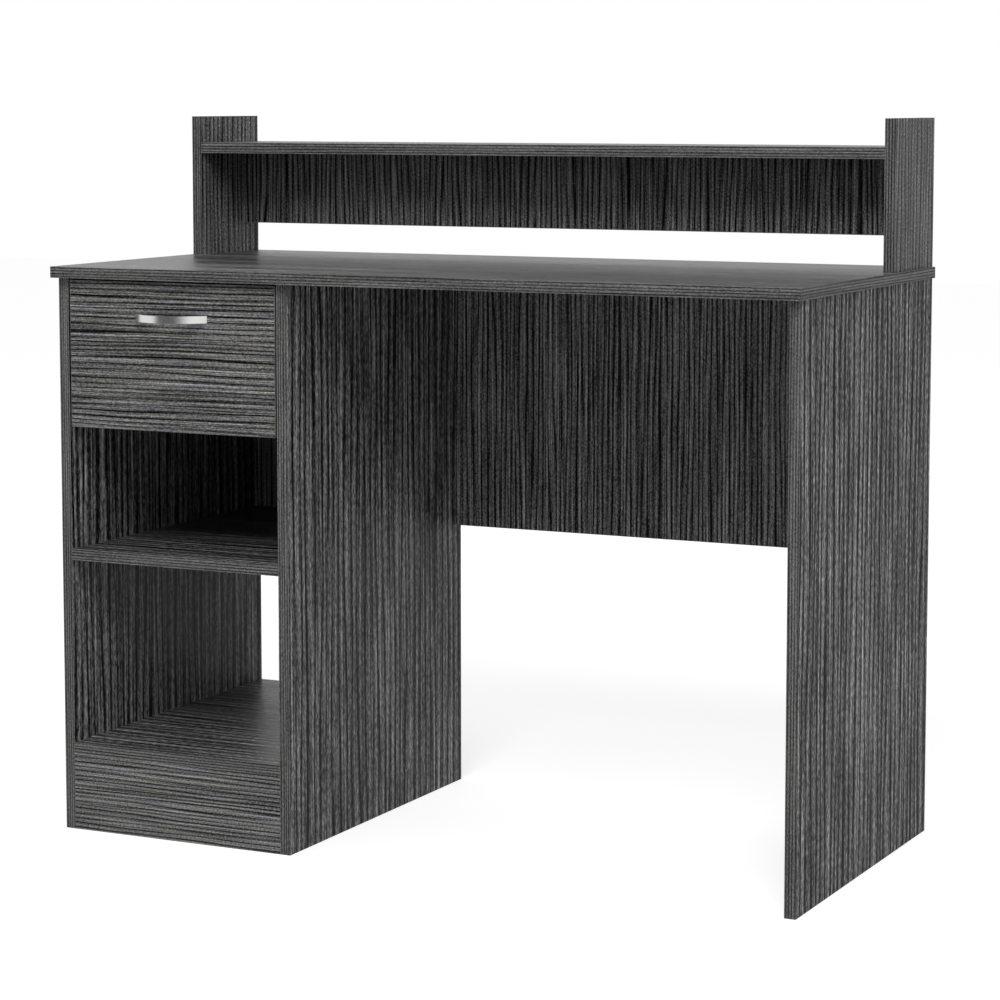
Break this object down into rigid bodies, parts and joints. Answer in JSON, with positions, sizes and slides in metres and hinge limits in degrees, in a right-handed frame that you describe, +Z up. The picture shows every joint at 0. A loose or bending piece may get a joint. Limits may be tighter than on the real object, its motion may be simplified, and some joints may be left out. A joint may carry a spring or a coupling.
{
  "type": "computer desk",
  "caption": "Board computer desk with a left pedestal of one drawer over two open niches, a knee space with a modesty panel, and a low shelf hutch along the rear.",
  "frame": {"origin": "on the floor, under the middle of the overall box, handle included", "axes": "+X to the right of a sitter, +Y to the rear, +Z up"},
  "size_m": [1.06, 0.526, 0.96],
  "materials": {
    "laminate_board": "charcoal wood-grain melamine on particle board, matt",
    "edge_band": "charcoal plastic edge band with dark lines",
    "drawer_board": "dark grey foil on particle board, matt",
    "hardboard": "thin painted hardboard, matt",
    "satin_metal": "satin nickel",
    "coated_rail": "pale powder coat on thin steel",
    "roller_plastic": "white nylon",
    "cam_alloy": "die-cast zinc alloy",
    "zinc_plated_steel": "zinc plate",
    "beech": "bare fluted beech"
  },
  "bodies": {
    "root": {"desktop": "laminate_board", "left_side_panel": "laminate_board", "pedestal_divider_panel": "laminate_board", "right_side_panel": "laminate_board", "pedestal_shelf": "laminate_board", "bottom_shelf": "laminate_board", "niche_back_panel": "laminate_board", "modesty_panel": "laminate_board", "hutch_left_upright": "laminate_board", "hutch_right_upright": "laminate_board", "hutch_shelf": "laminate_board", "hutch_back_panel": "laminate_board", "kick_plate": "laminate_board", "desktop_edge_band": "edge_band", "left_side_panel_edge_band": "edge_band", "pedestal_divider_panel_edge_band": "edge_band", "right_side_panel_edge_band": "edge_band", "pedestal_shelf_edge_band": "edge_band", "bottom_shelf_edge_band": "edge_band", "niche_back_panel_edge_band": "edge_band", "modesty_panel_edge_band": "edge_band", "hutch_left_upright_edge_band": "edge_band", "hutch_right_upright_edge_band": "edge_band", "hutch_shelf_edge_band": "edge_band", "hutch_back_panel_edge_band": "edge_band", "cam_housings": "cam_alloy", "cam_bolts": "zinc_plated_steel", "wood_dowels": "beech", "hutch_screws": "zinc_plated_steel", "left_cabinet_rail": "coated_rail", "right_cabinet_rail": "coated_rail", "cabinet_rail_screws": "zinc_plated_steel", "cabinet_roller_pins": "zinc_plated_steel"},
    "drawer": {"drawer_front": "laminate_board", "drawer_front_edge_band": "edge_band", "drawer_left_side": "drawer_board", "drawer_right_side": "drawer_board", "drawer_back": "drawer_board", "drawer_bottom": "hardboard", "drawer_handle": "satin_metal", "handle_screws": "zinc_plated_steel", "drawer_cam_housings": "cam_alloy", "drawer_cam_bolts": "zinc_plated_steel", "drawer_dowels": "beech", "drawer_back_screws": "zinc_plated_steel", "left_drawer_rail": "coated_rail", "right_drawer_rail": "coated_rail", "drawer_rail_screws": "zinc_plated_steel", "drawer_roller_pins": "zinc_plated_steel"},
    "left_cabinet_roller": {"left_cabinet_roller": "roller_plastic"},
    "right_cabinet_roller": {"right_cabinet_roller": "roller_plastic"},
    "left_drawer_roller": {"left_drawer_roller": "roller_plastic"},
    "right_drawer_roller": {"right_drawer_roller": "roller_plastic"}
  },
  "joints": [
    {"name": "drawer_slide", "type": "slide", "parent": "root", "child": "drawer", "axis": [0, -1, 0], "range_m": [0, 0.3]},
    {"name": "left_cabinet_roller_turn", "type": "hinge", "parent": "root", "child": "left_cabinet_roller", "pos_m": [-0.50575, -0.204, 0.5773], "axis": [1, 0, 0], "continuous": true},
    {"name": "right_cabinet_roller_turn", "type": "hinge", "parent": "root", "child": "right_cabinet_roller", "pos_m": [-0.19625, -0.204, 0.5773], "axis": [1, 0, 0], "continuous": true},
    {"name": "left_drawer_roller_turn", "type": "hinge", "parent": "drawer", "child": "left_drawer_roller", "pos_m": [-0.50375, 0.17, 0.577], "axis": [1, 0, 0], "continuous": true},
    {"name": "right_drawer_roller_turn", "type": "hinge", "parent": "drawer", "child": "right_drawer_roller", "pos_m": [-0.19825, 0.17, 0.577], "axis": [1, 0, 0], "continuous": true}
  ],
  "couplings": [
    {"joint": "left_cabinet_roller_turn", "follows": "drawer_slide", "rad_per_m": 133.33},
    {"joint": "right_cabinet_roller_turn", "follows": "drawer_slide", "rad_per_m": 133.33},
    {"joint": "left_drawer_roller_turn", "follows": "drawer_slide", "rad_per_m": 133.33},
    {"joint": "right_drawer_roller_turn", "follows": "drawer_slide", "rad_per_m": 133.33}
  ]
}
